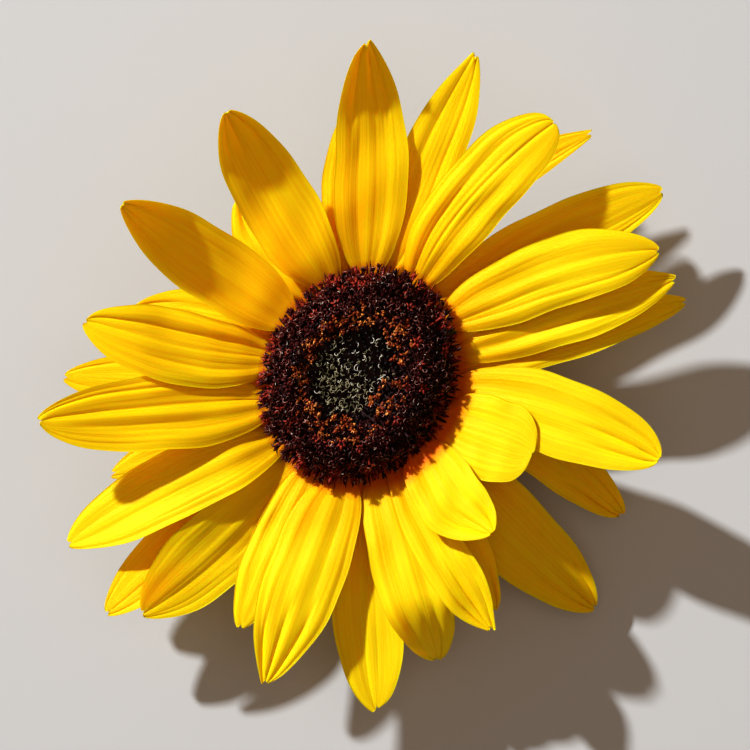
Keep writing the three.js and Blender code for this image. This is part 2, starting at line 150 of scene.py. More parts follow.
# The map of heights on which the petals are laid on each other
PETAL_CLEARANCE = 0.32
MAP_CELL = 0.5
MAP_HALF = int(90 / MAP_CELL)
MAP_EMPTY = -1e3
MAP_CROSS = ((0, 0), (1, 0), (-1, 0), (0, 1), (0, -1))
FADE_TO_FOOT = 0.35
FADE_TO_TIP = 0.09
LIFT_BLUR = 5

# Colours of a petal at its foot, in its middle, and from there to its tip
FRONT_YELLOWS = ((0.98, 0.5, 0.001), (1.0, 0.59, 0.001), (1.0, 0.69, 0.004))
BACK_YELLOWS = ((0.95, 0.44, 0.001), (0.98, 0.54, 0.001), (1.0, 0.64, 0.003))
# Streaks and broad bands across a petal, and the tint of its veins, which also paints shade into the low
# grooves of the streaks' bump
PETAL_STREAKS = 34.0
PETAL_BANDS = 7.0
BAND_SHIFT = 0.35
VEIN_AND_GROOVE_SHADE_TINT = (0.93, 0.72, 0.4)
VEIN_AND_GROOVE_SHADE_SHARE = 0.38
# The light that a petal passes on
PETAL_GLOW = 0.16
GLOW_COLOUR = (1.0, 0.55, 0.01, 1)
# Painted reddish shade at a petal's foot, where the disc's shadow falls: colour, strength, and how many
# centimetres out it is full and gone
PETAL_FOOT_SHADE = (0.7, 0.13, 0.006)
FOOT_SHADE_SHARE = 0.62
FOOT_SHADE_FULL = 0.2
FOOT_SHADE_GONE = 0.37
# How much deeper and longer the painted shade is on the bloom's lower right, the side away from the key
# light
FOOT_SHADE_SIDE = (30.7, -30.7, 0.0)
FOOT_SHADE_DEEPER = 0.6
FOOT_SHADE_LONGER = 0.48

# One row for each ray petal, clockwise from the top of the bloom, in millimetres and degrees.
# layer: the order in which the petals lie on each other, 0 lowest.
# foot, tip: azimuths of the two ends. reach: distance of the tip from the bloom's axis.
# width: widest width. full: share of the length where it is widest. blunt: 1 pointed, 2 rounded.
# bow: how far the midline swings out to the left, seen from the foot.
# rise: slope at the foot. end: height of the tip above the foot. nod: how far the tip bends down.
# roll: turn about the midline. cup: how far the edges stand up. ridge: height of the ridges.
PETAL_VALUES = "layer foot tip reach width full blunt bow rise end nod roll cup ridge".split()
PETALS = [dict(zip(PETAL_VALUES, row)) for row in [
    (2, 91, 89, 76.1, 17, 0.46, 1, -0.9, 2, 19, -3, 6, 1, 0.3),
    (1, 79.5, 70.3, 77.3, 14.3, 0.46, 1, 0, 10, 16, 0, -6, 0.3, 0.3),
    (3, 58.5, 52.5, 72.9, 16.8, 0.57, 1.8, 3.4, 30, 12, 2, 0, -0.4, 0.55),
    (0, 71, 46.5, 76.5, 9.2, 0.5, 1, 3.8, 10, 4, 0, 0, 0.3, 0.3),
    (1, 42, 31.4, 81.2, 14.9, 0.55, 1.35, 1.1, 8, 1, 1, 4, 0.3, 0.4),
    (3, 28, 22.7, 73.9, 16.2, 0.55, 1.3, 2.4, 24, 9, 2, 0, -0.6, 0.45),
    (2, 10.5, 16.9, 75, 14.5, 0.5, 1.1, 0.4, 18, 6, 1, 5, 0.2, 0.7),
    (1, -2.5, 12.7, 76.4, 12.4, 0.44, 1.15, 1.1, 12, 2, 1, -8, 0.2, 0.4),
    (3, -13.5, -15.8, 70.7, 18.1, 0.5, 1.5, 2.4, 28, 13, 0, 0, 0.2, 0.35),
    (5, -30.5, -24.5, 43.2, 19.4, 0.6, 2, 0, 22, 7, 0, 0, 0.3, 0.3),
    (0, -20, -28.2, 68.2, 12.5, 0.55, 1.5, 2.5, 3, -5, 0, 0, 0.4, 0.3),
    (0, -43, -44.9, 77, 18.7, 0.5, 1.2, -1.1, 3, -9.5, 0, 0, 0.6, 0.3),
    (5, -48.5, -50.3, 46.8, 15.8, 0.5, 1.25, -1.2, 30, 12, 0, 0, 0.6, 0.4),
    (1, -54, -60.6, 62.8, 12, 0.5, 1.2, 0.5, 12, 3, 0, 0, 0.4, 0.3),
    (3, -64, -63, 65.2, 11.8, 0.65, 0.95, -1, 26, 9, 1, 0, 0.5, 0.45),
    (2, -74, -75, 68, 16.4, 0.55, 1.5, -0.3, 24, 11, 14, 0, -0.4, 0.45),
    (1, -84, -87.4, 77.7, 16.2, 0.6, 1.15, -0.8, 12, 3, 0, 0, 0.8, 0.35),
    (3, 263, 252.7, 74.4, 18, 0.46, 0.92, 0, 24, 10, 2, 0, -0.5, 0.45),
    (2, 242.5, 244.5, 64.5, 11, 0.5, 1.2, -0.9, 18, 6, 1, 6, 0.3, 0.4),
    (1, 234.5, 227.5, 74.3, 18.6, 0.6, 1.2, 0.8, 6, 0, 0, -16, 0.6, 0.5),
    (0, 220, 223, 80.2, 13.6, 0.6, 1.2, 0, 8, 2, 0, 8, 0.4, 0.35),
    (1, 214.5, 210, 77.6, 16.2, 0.5, 1.2, -1.2, 8, 3, 0, 12, 0.8, 0.45),
    (0, 202.5, 201.7, 61.6, 11.5, 0.5, 1, 0, 8, 1, 0, 0, 0.3, 0.3),
    (4, 192, 188.2, 74.4, 17.4, 0.46, 1.2, 0.5, 15, 17, 1, 0, 0.4, 0.6),
    (0, 183, 180.4, 68.3, 13, 0.5, 1.2, 0, 8, 2, 0, 0, 0.3, 0.3),
    (5, 167.5, 169, 63.9, 16.8, 0.5, 1.4, 1.5, 6, 13, 3, 0, 0.3, 0.5),
    (0, 154.5, 163.5, 54.4, 12.5, 0.5, 1, -1.2, 8, 0, 0, 0, 0.2, 0.3),
    (6, 143.5, 144.5, 66.4, 16.6, 0.46, 1.1, -0.2, 0, 22, -1, 0, 0.8, 0.3),
    (0, 131, 123.5, 50.4, 15.6, 0.5, 1.2, 0, 8, 0, 0, 0, 0.2, 0.3),
    (2, 114.5, 117, 67.1, 17.2, 0.5, 1.2, 0.5, 4, 20, -1, 0, 0.9, 0.3),
    (0, 104.5, 92, 62.1, 12, 0.5, 1, 0, 8, 1, 0, 0, 0.3, 0.3),
]]

# Bracts
OUTER_BRACTS = 21
OUTER_BRACT = dict(foot_radius=9.6, reach=36.5, foot_width=2.3, width=6.8, sunk=0.35, lap=14.0, curl=0.5)
OUTER_BRACT_SEAT = 0.65
OUTER_BRACT_TIP = 0.31
OUTER_BRACT_ARCH = 3.0
OUTER_BRACT_HAIRS = 90
INNER_BRACTS = 16
INNER_BRACT = dict(foot_radius=18.4, reach=37.0, foot_width=3.4, sunk=0.3, lap=0.0, curl=0.6)
INNER_BRACT_WIDTHS = (6.7, 7.7)
INNER_BRACT_SEAT = 0.56
INNER_BRACT_ARCH = 1.4
INNER_BRACT_DROP = 1.3
INNER_BRACT_HAIRS = 70
BRACT_THICKNESS = 0.45
BRACT_ROWS = 34
BRACT_STRIPS = 12
BRACT_SHARES = np.linspace(0, 1, BRACT_ROWS)
# Greens of the bracts: dark, light, and the veins
BRACT_GREENS = ((0.07, 0.13, 0.025), (0.13, 0.22, 0.05), (0.26, 0.36, 0.12))
SIDE_VEINS = 9.0
# Hairs
HAIR_RADIUS = 0.05
BRACT_HAIR_LENGTH = 0.9
HAIR_STRAY = 0.25
HAIRS_ON_EDGE = 0.75

# Disc
DISC_RADIUS = 21.9
EYE_RADIUS = 8.4
HOLLOW_RADIUS = 0.35 * EYE_RADIUS
CREST_RADIUS = 15.5
CREST_HEIGHT = 27.4
EYE_HEIGHT = 24.8
EDGE_HEIGHT = 22.0
EDGE_LEAN = 66.0
DISC_FLORETS = 800
FLORET_JITTER = 0.16
BED_DEPTH = 1.9
BED_FLOOR = RIM_TOP - 2.4
GOLDEN_ANGLE = pi * (3 - sqrt(5))
# A lobe's sections: the share of its length and of its width at each
LOBE_SECTIONS = ((0, 0.75), (0.3, 1.0), (0.65, 0.7), (1.0, 0.04))
LOBE_THICKNESS = 0.14
LOBES = 5
# How far a floret's lobes stray from each other: turn, width, length, flare, rise
EVEN_LOBES = (0.15, 0.0, 0.15, 0.18, 0.0)
UNEVEN_LOBES = (0.3, 0.2, 0.25, 0.35, 0.2)
# A strand's thickness at each of its points
STRAND_TAPER = np.array([0.8, 1, 1, 1, 1, 1, 1, 0.85, 0.4])
# Shares of the disc's radius where open florets begin, and where buds and the eye's curls end
OPEN_FROM = 0.7
BUDS_TO = 0.5
EYE_CURLS_TO = 0.41
# Near the rim some florets stand tall over their neighbours
TALL_FROM = 0.72
TALL_SHARE = 0.2
TALL_LIFT = 1.2
LOW_DROP = 0.5
# Patches of rust-coloured florets: azimuth, distance from the axis, radius
RUST_PATCHES = [(85, 15.1, 4.8), (39, 13.2, 3.4), (137, 16.0, 4.6), (181, 13.8, 2.6)]
RUST_PATCHES += [(-19, 10.3, 2.3), (-42, 10.4, 3.0), (-101, 13.3, 4.5), (221, 12.9, 2.8)]
# Chances of the tissues of a rust-coloured floret's lobes
BRIGHT_LOBES = dict(rust=0.36, ember=0.34, maroon=0.18, amber=0.12)
DULL_LOBES = dict(rust=0.22, ember=0.44, maroon=0.3, amber=0.04)
# Rows of the fringe's florets: count, radius, height, lean in degrees, length
FRINGE_FLORETS = [(58, 20.9, 23.0, 48, 1.5), (64, 21.7, 22.3, 66, 1.9), (60, 21.9, 21.7, 80, 2.2)]
# Rows of the scales between them, in the same order of values
FRINGE_SCALES = [(80, 21.5, 22.6, 60, 3.8), (84, 21.9, 21.8, 80, 4.4)]
FRINGE_FOOT = -0.8
SCALE_FOOT = -0.6
SCALE_FLARE = 0.3
# The eye lies a little off the disc's middle
EYE_SHIFT = np.array([-2.8, 0.3, 0.0])
# On this side of the eye's middle its curls are few and pale: few, so that the black buds show as painted
# shade where the crest's shadow falls, and pale, as painted glints
EYE_SHADE_AND_GLINT_SIDE = np.array([0.45, 0.89, 0.0])

# The florets' tissues: name, dark tone, light tone and roughness
TISSUES = {
    "maroon": ("maroon_corolla", (0.026, 0.003, 0.004), (0.085, 0.01, 0.009), 0.5),
    # The red lobes are partly the florets' own red and partly painted sunlight: a lit copy of the maroon,
    # set mostly at the rim
    "red": ("red_and_sunlit_corolla", (0.15, 0.014, 0.01), (0.34, 0.036, 0.02), 0.5),
    "anther": ("dark_anther", (0.01, 0.003, 0.006), (0.025, 0.007, 0.012), 0.45),
    "lilac": ("lilac_style", (0.3, 0.14, 0.12), (0.6, 0.36, 0.33), 0.5),
    "rust": ("rust_corolla", (0.2, 0.05, 0.012), (0.48, 0.14, 0.03), 0.55),
    "ember": ("ember_corolla", (0.13, 0.019, 0.006), (0.32, 0.052, 0.013), 0.55),
    "amber": ("amber_pollen", (0.55, 0.2, 0.04), (0.8, 0.36, 0.11), 0.8),
    "black": ("black_bud", (0.005, 0.004, 0.004), (0.012, 0.009, 0.009), 0.5),
    "scale": ("dark_scale", (0.012, 0.003, 0.005), (0.03, 0.006, 0.01), 0.5),
    "olive": ("olive_strand", (0.22, 0.205, 0.13), (0.44, 0.41, 0.28), 0.55),
    "moss": ("moss_strand", (0.06, 0.062, 0.034), (0.15, 0.155, 0.08), 0.55),
    # Pale strands are partly pale style tips and partly painted glints
    "pale": ("pale_and_glint_strand", (0.55, 0.55, 0.5), (0.8, 0.8, 0.75), 0.4),
}
TISSUE_SLOTS = dict.fromkeys(("rust", "ember", "amber"), "rust_florets")
TISSUE_SLOTS |= dict.fromkeys(("black", "olive", "moss", "pale"), "eye_florets")
STANDS_FOR = dict(maroon=["disc_florets_outer"], rust=["disc_florets_middle"], black=["disc_florets_eye"])
TISSUE_GRAIN = 1500.0


# Camera, light and floor

def new_object(name, data):
    made = bpy.data.objects.new(name, data)
    bpy.context.scene.collection.objects.link(made)
    return made


def add_camera():
    data = bpy.data.cameras.new("overhead")
    data.lens = data.sensor_width * CAMERA_HEIGHT / VIEW_WIDTH
    camera = new_object("overhead", data)
    camera.location = Vector(VIEW_CENTRE) + Vector((0, 0, CAMERA_HEIGHT))
    bpy.context.scene.camera = camera


def add_light(name, location, **values):
    data = bpy.data.lights.new(name, "AREA")
    data.shape = "DISK"
    for key, value in values.items():
        setattr(data, key, value)
    light = new_object(name, data)
    light.location = location
    light.rotation_euler = (Vector(LAMP_TARGET) - light.location).to_track_quat("-Z", "Y").to_euler()


def add_floor():
    material, _, shader = new_material("pale_floor")
    set_inputs(shader, Base_Color=FLOOR_COLOUR, Roughness=0.9)
    mesh = bpy.data.meshes.new("floor")
    low, high = -FLOOR_HALF, FLOOR_HALF
    mesh.from_pydata([(low, low, 0), (high, low, 0), (high, high, 0), (low, high, 0)], [], [(0, 1, 2, 3)])
    mesh.materials.append(material)
    floor = new_object("floor", mesh)


def add_world():
    world = bpy.data.worlds.new("studio")
    world.use_nodes = True
    set_inputs(world.node_tree.nodes["Background"], Color=SKY_COLOUR, Strength=SKY_STRENGTH)
    bpy.context.scene.world = world


# Material nodes

def new_material(name):
    material = bpy.data.materials.new(name)
    material.use_nodes = True
    shader = material.node_tree.nodes["Principled BSDF"]
    return material, material.node_tree, shader


def is_socket(value):
    return isinstance(value, bpy.types.NodeSocket)


def feed(socket, value):
    """Links another node's output to the socket, or sets its value."""
    if is_socket(value):
        socket.id_data.links.new(value, socket)
    else:
        socket.default_value = value


def set_inputs(node, **values):
    """Feeds a node's inputs, whose names are written with _ for each space."""
    for name, value in values.items():
        feed(node.inputs[name.replace("_", " ")], value)


def add_node(kind, *inputs, tree=None, **values):
    """A new node with its first inputs fed, in the tree of those that are linked."""
    tree = tree or next(value.id_data for value in inputs if is_socket(value))
    node = tree.nodes.new(kind)
    for key, value in values.items():
        setattr(node, key, value)
    for socket, value in zip(node.inputs, inputs):
        feed(socket, value)
    return node


def math_node(operation, first, second=0.0):
    return add_node("ShaderNodeMath", first, second, operation=operation).outputs[0]


def plus(first, second):
    return math_node("ADD", first, second)


def minus(first, second):
    return math_node("SUBTRACT", first, second)


def times(first, second):
    return math_node("MULTIPLY", first, second)


def vector_value(operation, *vectors):
    return add_node("ShaderNodeVectorMath", *vectors, operation=operation).outputs["Value"]


def parts_of(vector):
    return add_node("ShaderNodeSeparateXYZ", vector).outputs


def combine(x, y):
    return add_node("ShaderNodeCombineXYZ", x, y).outputs[0]


def ramp(factor, stops):
    """A smooth run of colours over a 0 to 1 factor, from (position, colour) pairs."""
    node = add_node("ShaderNodeValToRGB", factor)
    elements = node.color_ramp.elements
    while len(elements) < len(stops):
        elements.new(0.5)
    for element, (position, colour) in zip(elements, stops):
        element.position = position
        element.color = (*colour, 1)
    return node.outputs["Color"]


def mix_colour(factor, first, second, blend="MIX"):
    node = add_node("ShaderNodeMix", factor, tree=first.id_data, data_type="RGBA", blend_type=blend)
    feed(node.inputs[6], first)
    feed(node.inputs[7], second if is_socket(second) else (*second, 1))
    return node.outputs[2]


def noise(vector, scale, detail):
    node = add_node("ShaderNodeTexNoise", vector)
    set_inputs(node, Scale=scale, Detail=detail, Roughness=0.5)
    return node.outputs["Fac"]


def bump(shader, height, distance, strength):
    node = add_node("ShaderNodeBump", tree=shader.id_data)
    set_inputs(node, Height=height, Distance=distance, Strength=strength)
    set_inputs(shader, Normal=node.outputs["Normal"])


def let_light_through(tree, shader):
    """Mixes in the light that a thin petal passes to its other side."""
    output = next(node for node in tree.nodes if node.type == "OUTPUT_MATERIAL")
    through = add_node("ShaderNodeBsdfTranslucent", GLOW_COLOUR, tree=tree)
    both = add_node("ShaderNodeMixShader", PETAL_GLOW, shader.outputs[0], through.outputs[0])
    set_inputs(output, Surface=both.outputs[0])


def object_place(tree):
    return add_node("ShaderNodeTexCoord", tree=tree).outputs["Object"]


def blade_places(tree):
    """Across (0 to 1), and run: the blade's own number times 2, plus the share of its length."""
    uv = add_node("ShaderNodeUVMap", tree=tree, uv_map="blade").outputs["UV"]
    return parts_of(uv)[:2]


def past_feet(tree):
    """How many centimetres a place lies outside the oval of the petals' feet."""
    turned = add_node("ShaderNodeMapping", object_place(tree), vector_type="TEXTURE")
    scale = (LONG_SCALE, SHORT_SCALE, 1)
    set_inputs(turned, Rotation=(0, 0, radians(LONG_AZIMUTH)), Scale=scale)
    x, y, _ = parts_of(turned.outputs[0])
    outside = minus(vector_value("LENGTH", combine(x, y)), PETAL_FOOT_RADIUS * MM)
    return times(outside, 100.0)


def painted_foot_shade(tree):
    """The share of the painted reddish shade at a petal's foot, at a place."""
    towards = vector_value("DOT_PRODUCT", object_place(tree), FOOT_SHADE_SIDE)
    sided = ramp(towards, [(0.0, BLACK), (1.0, WHITE)])
    nearer = minus(1.0, times(sided, FOOT_SHADE_LONGER))
    out = times(past_feet(tree), nearer)
    near_foot = ramp(out, [(FOOT_SHADE_FULL, WHITE), (FOOT_SHADE_GONE, BLACK)])
    strength = plus(1.0, times(sided, FOOT_SHADE_DEEPER))
    return times(times(near_foot, strength), FOOT_SHADE_SHARE)


def petal_material(name, foot, middle, tip):
    material, tree, shader = new_material(name)
    across, run = blade_places(tree)
    streaks = noise(combine(times(across, PETAL_STREAKS), run), 1.0, 3.0)
    broad = noise(combine(times(across, PETAL_BANDS), run), 1.0, 2.0)
    share = math_node("MODULO", run, 2.0)
    place = plus(share, times(minus(broad, 0.5), BAND_SHIFT))
    plain = ramp(place, [(0.02, foot), (0.2, middle), (0.5, tip), (1.0, tip)])
    deeper = mix_colour(1.0, plain, VEIN_AND_GROOVE_SHADE_TINT, "MULTIPLY")
    # The streaks are darker where the bump is low: partly the veins' own deeper tone, partly painted shade
    # in the grooves
    shade = ramp(streaks, [(0.42, WHITE), (0.58, BLACK)])
    veined_and_shaded = mix_colour(times(shade, VEIN_AND_GROOVE_SHADE_SHARE), plain, deeper)
    # Painted reddish shade over the petals' feet, deepest and longest on the lower right, where the disc's
    # shadow falls
    colour = mix_colour(painted_foot_shade(tree), veined_and_shaded, PETAL_FOOT_SHADE)
    set_inputs(shader, Base_Color=colour, Roughness=0.6, Specular_IOR_Level=0.1)
    set_inputs(shader, Subsurface_Weight=0.7, Subsurface_Radius=(1.0, 0.45, 0.02), Subsurface_Scale=1.3 * MM)
    bump(shader, streaks, 0.12 * MM, 0.8)
    let_light_through(tree, shader)
    return material


def bract_material(name, dark, light, vein):
    """Mottled green with a pale midrib and slanting side veins."""
    material, tree, shader = new_material(name)
    across, run = blade_places(tree)
    from_rib = math_node("ABSOLUTE", minus(across, 0.5))
    mottle = noise(object_place(tree), 900.0, 4.0)
    slanted = minus(times(run, SIDE_VEINS), times(from_rib, SIDE_VEINS))
    side_veins = math_node("PINGPONG", slanted, 0.5)
    vein_mask = ramp(side_veins, [(0.0, (0.7, 0.7, 0.7)), (0.1, BLACK)])
    rib_mask = ramp(from_rib, [(0.02, WHITE), (0.06, BLACK)])
    mask = math_node("MAXIMUM", vein_mask, rib_mask)
    colour = mix_colour(mask, ramp(mottle, [(0.3, dark), (0.7, light)]), vein)
    set_inputs(shader, Base_Color=colour, Roughness=0.65)
    set_inputs(shader, Subsurface_Weight=0.1, Subsurface_Scale=0.4 * MM)
    bump(shader, minus(mottle, mask), 0.1 * MM, 0.7)
    return material


def plain_tissue(name, dark, light, roughness):
    """Two close tones in a fine mottle."""
    material, tree, shader = new_material(name)
    mottle = noise(object_place(tree), TISSUE_GRAIN, 3.0)
    colour = ramp(mottle, [(0.35, dark), (0.65, light)])
    set_inputs(shader, Base_Color=colour, Roughness=roughness, Specular_IOR_Level=0.2)
    bump(shader, mottle, 0.05 * MM, 0.6)
    return material


def stem_material():
    """Green flecked skin, with the pale pith inside it on the cut face."""
    material, tree, shader = new_material("stem_skin")
    place = object_place(tree)
    flecks = noise(place, 1300.0, 4.0)
    skin = ramp(flecks, [(0.3, (0.13, 0.24, 0.05)), (0.7, (0.26, 0.38, 0.1))])
    pith = ramp(flecks, [(0.3, (0.5, 0.6, 0.38)), (0.7, (0.66, 0.72, 0.52))])
    inside = math_node("LESS_THAN", vector_value("LENGTH", place), PITH_RADIUS * MM)
    set_inputs(shader, Base_Color=mix_colour(inside, skin, pith), Roughness=0.6)
    bump(shader, flecks, 0.1 * MM, 0.8)
    return material


# Meshes, in millimetres until they become a piece

def polar(radius, azimuth, height=0.0):
    return np.stack(np.broadcast_arrays(radius * np.cos(azimuth), radius * np.sin(azimuth), height), axis=-1)


def mix(low, high, share):
    return low + (high - low) * share


def ease(value):
    """From 0 to 1 with a soft start and a soft end."""
    value = np.clip(value, 0, 1)
    return value * value * (3 - 2 * value)


def unit(vectors):
    return vectors / np.linalg.norm(vectors, axis=-1, keepdims=True)


def above_floor(points):
    points = np.asarray(points)
    points[:, 2] = np.maximum(points[:, 2], FLOOR_GAP)
    return points


def add_piece(name, points, faces, material, slot, replaces=(), uv=None):
    mesh = bpy.data.meshes.new(name)
    mesh.from_pydata((points * MM).tolist(), [], faces)
    mesh.materials.append(material)
    mesh.shade_smooth()
    if uv is not None:
        layer = mesh.uv_layers.new(name="blade")
        corners = np.array([loop.vertex_index for loop in mesh.loops])
        layer.data.foreach_set("uv", np.asarray(uv, dtype=np.float32)[corners].ravel())
    piece = new_object(name, mesh)
    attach(piece, "root")
    if replaces:
        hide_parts(*replaces)


def grid_faces(rows, columns, start=0, closed=False, flip=False):
    """The quads of a net of points, row by row. closed joins the last column to the first."""
    faces = []
    for i in range(rows - 1):
        for j in range(columns if closed else columns - 1):
            a = start + i * columns + j
            b = start + i * columns + (j + 1) % columns
            c, d = b + columns, a + columns
            faces.append((a, d, c, b) if flip else (a, b, c, d))
    return faces


def surface_normals(grid):
    along = np.gradient(grid, axis=0)
    across = np.gradient(grid, axis=1)
    normals = unit(np.cross(along, across))
    return normals * np.where(normals[..., 2:] < 0, -1, 1)


def blade(grid, thickness, shares, number):
    """Points, faces and uv of a closed blade round a middle surface."""
    rows, columns, _ = grid.shape
    side = np.linspace(-1, 1, columns)
    half = thickness / 2 * (1 - 0.7 * side[None, :, None] ** 8)
    normals = surface_normals(grid)
    top = (grid + normals * half).reshape(-1, 3)
    bottom = (grid - normals * half).reshape(-1, 3)
    low = rows * columns
    faces = grid_faces(rows, columns) + grid_faces(rows, columns, low, flip=True)
    edge = [*range(columns - 1), *range(columns - 1, low - 1, columns)]
    edge += [*range(low - 1, low - columns, -1), *range(low - columns, 0, -columns)]
    faces += [(a, b, low + b, low + a) for a, b in zip(edge, edge[1:] + edge[:1])]
    share, across = np.meshgrid(shares, np.linspace(0, 1, columns), indexing="ij")
    uv = np.stack([across, share * 0.98 + 0.01 + 2 * number], axis=-1).reshape(-1, 2)
    return np.concatenate([top, bottom]), faces, np.concatenate([uv, uv])


def lathe(profile, sides, relief=None):
    """A solid turned about +Z from (radius, height) pairs that start and end on the axis."""
    azimuths = np.arange(sides) / sides * FULL_TURN
    rings = []
    for radius, height in profile[1:-1]:
        swell = relief(azimuths, height) if relief else 0.0
        rings.append(polar(radius + swell, azimuths, np.full(sides, height)))
    points = np.concatenate(rings + [[[0, 0, profile[0][1]], [0, 0, profile[-1][1]]]])
    count = len(rings)
    faces = grid_faces(count, sides, closed=True)
    first, last = count * sides, count * sides + 1
    for j in range(sides):
        k = (j + 1) % sides
        faces.append((first, k, j))
        faces.append((last, (count - 1) * sides + j, (count - 1) * sides + k))
    return points, faces


def join(meshes):
    """Several (points, faces) as one."""
    points, faces, count = [], [], 0
    for part_points, part_faces in meshes:
        points.append(part_points)
        faces += [tuple(count + corner for corner in face) for face in part_faces]
        count += len(part_points)
    return np.concatenate(points), faces


# Ray petals

def petal_width(share, petal):
    width, full, blunt = petal["width"], petal["full"], petal["blunt"]
    foot = PETAL_FOOT_WIDTH / width
    swell, rounding = INNER_OUTLINE
    inner = width * mix(foot, 1, (1 - (1 - np.minimum(share / full, 1)) ** swell) ** rounding)
    swell, rounding = OUTER_OUTLINE
    out = np.clip((share - full) / (1 - full), 0, 1) ** swell
    outer = mix(PETAL_TIP_WIDTH, width, (1 - out) ** (rounding / blunt))
    return np.where(share < full, inner, outer)


def petal_height(share, length, petal):
    climb = length * tan(radians(petal["rise"]))
    past = np.maximum(0, share - NOD_SHARE) / (1 - NOD_SHARE)
    return climb * share + (petal["end"] - climb) * share**2 - petal["nod"] * past**2


def tip_teeth(share, side, petal, character):
    """How far the tip draws back round its long tooth, its notch and its small tooth."""
    near_tip = np.clip((share - TEETH_FROM) / TEETH_LENGTH, 0, 1) ** 1.5 / petal["blunt"] ** 2
    notch = NOTCH_DEPTH * np.exp(-(((side - character["notch"]) / NOTCH_WIDTH) ** 2))
    return near_tip * character["tooth"] * (notch + SLANT_DEPTH * character["slant"] * (side + 1))


def tip_folds():
    """Short folds that run together at a petal's tip."""
    folds = []
    for centre in TIP_FOLDS:
        place = centre + fold_draw(-0.14, 0.14)
        depth = TIP_FOLD_DEPTH * fold_draw(0.5, 1.1)
        start, end = fold_draw(0.5, 0.68), 1.3
        folds.append((place, start, end, depth, TIP_FOLD_SPREAD, 0.0))
    return folds


def petal_creases(number):
    """Each crease's place across, start, end, depth, spread and drift."""
    deepest = CREASE_DEPTH * CALM_PETALS.get(number, 1.0)
    through = petal_random.choice(CREASES, size=2, replace=False)
    creases = []
    for n, centre in enumerate(np.linspace(-CREASE_SPAN, CREASE_SPAN, CREASES)):
        start = petal_draw(-0.2, 0.1 if n in through else 0.5)
        end = 1.2 if n in through else petal_draw(0.5, 1.15)
        depth = deepest * petal_draw(0.55, 1.1)
        depth *= 1.0 if n in through else petal_draw(0.2, 0.8)
        place = centre + petal_draw(-0.1, 0.1)
        spread, drift = petal_draw(0.6, 1.6), petal_draw(-0.06, 0.06)
        creases.append((place, start, end, depth, spread, drift))
    if number in CALM_PETALS and number != FOLDLESS_PETAL:
        creases += tip_folds()
    return creases


def draw_character(number):
    """What is a petal's own: its creases, its tip and the phases of its waves."""
    return {
        "creases": petal_creases(number),
        "notch": petal_draw(-0.25, 0.25),
        "slant": petal_random.choice([-1, 1]) * petal_draw(0.3, 1.0),
        "tooth": TIP_TOOTH * (PLAIN_TOOTH if number in PLAIN_TIPS else 1.0),
        "belly": petal_draw(-0.04, 0.04) + SKEWED_PETALS.get(number, 0.0),
        "phases": petal_draw(0, FULL_TURN, 8),
    }


def petal_grid(petal, character):
    """The middle surface of a petal as if it lay alone, on its layer."""
    share = PETAL_SHARES[:, None]
    side = np.linspace(-1, 1, PETAL_STRIPS + 1)[None, :]
    start = polar(PETAL_FOOT_RADIUS, radians(petal["foot"])) @ OVAL
    finish = polar(petal["reach"], radians(petal["tip"]))
    chord = finish - start
    length = np.linalg.norm(chord)
    left = unit(np.cross(UP, chord))
    middle = (start + finish) / 2 + left * 2 * petal["bow"]
    path = (1 - share) ** 2 * start + 2 * share * (1 - share) * middle + share**2 * finish
    tangent = unit(2 * (1 - share) * (middle - start) + 2 * share * (finish - middle))
    rim = unit(np.cross(UP, start))
    blend = np.minimum(share / FOOT_SHARE, 1)
    sideways = unit(np.cross(UP, tangent) * blend + rim * (1 - blend))
    grown = np.minimum(share / ROLL_SHARE, 1)
    turn = radians(petal["roll"]) * grown
    across = sideways * np.cos(turn) + UP * np.sin(turn)
    width = petal_width(share, petal)
    fullness = width / petal["width"]
    relief = RIDGE_SHARE * petal["ridge"] * np.sin(pi * share**0.6)
    height = LAYER_BOTTOM + petal["layer"] * LAYER_STEP + petal_height(share, length, petal)
    height = height + relief * np.cos(RIDGES * pi * side)
    height = height + petal["cup"] * side**2 * grown * fullness
    height = height + fine_relief(share, side, fullness, petal["ridge"], character)
    off_middle = edge_places(share, side, character) * width / 2
    place = path[:, None, :] + across[:, None, :] * off_middle[..., None]
    place = place - tangent[:, None, :] * tip_teeth(share, side, petal, character)[..., None]
    place[..., 2] += height
    return place


def edge_places(share, side, character):
    """How far across each point lies, in half widths."""
    phases = character["phases"]
    wave = 1 + EDGE_WAVE * np.sin(11 * share + phases[4] + side)
    wave = wave + FINE_EDGE_WAVE * np.sin(23 * share + phases[6] + 2 * side)
    belly = character["belly"] * np.sin(pi * np.clip((share - 0.2) / 0.8, 0, 1)) ** 2
    return side * wave + belly


def fine_relief(share, side, fullness, ridge, character):
    """Sharp lengthwise creases, soft ridges between them, fine veins and fluttering edges."""
    phases = character["phases"]
    depth = np.zeros(np.broadcast_shapes(share.shape, side.shape))
    for centre, start, end, deepest, spread, drift in character["creases"]:
        course = centre + drift * np.sin(5 * share + 9 * centre)
        alive = ease((share - start) / 0.25) * ease((end - share) / 0.2)
        depth = depth + deepest * alive * np.exp(-np.abs(side - course) / (CREASE_WIDTH * spread))
    strength = 0.35 + 1.8 * ridge
    swell = np.sin(pi * np.clip(share, 0, 1) ** 0.7)
    veins = VEIN_HEIGHT * np.cos(12 * pi * side + phases[0])
    veins = veins * (0.6 + 0.4 * np.cos(5 * share + phases[1]))
    flutter = FLUTTER_HEIGHT * np.sin(9 * share + phases[2] + 1.5 * np.sign(side)) * np.abs(side) ** 3
    sway = SWAY_HEIGHT * np.sin(6 * share + phases[3]) * side
    roll = ROLL_HEIGHT * np.sin(8 * share + phases[5])
    pucker = PUCKER_HEIGHT * np.sin(17 * share + 3 * side + phases[7])
    return (veins + flutter + sway + roll + pucker) * swell * fullness - depth * strength * fullness**0.4


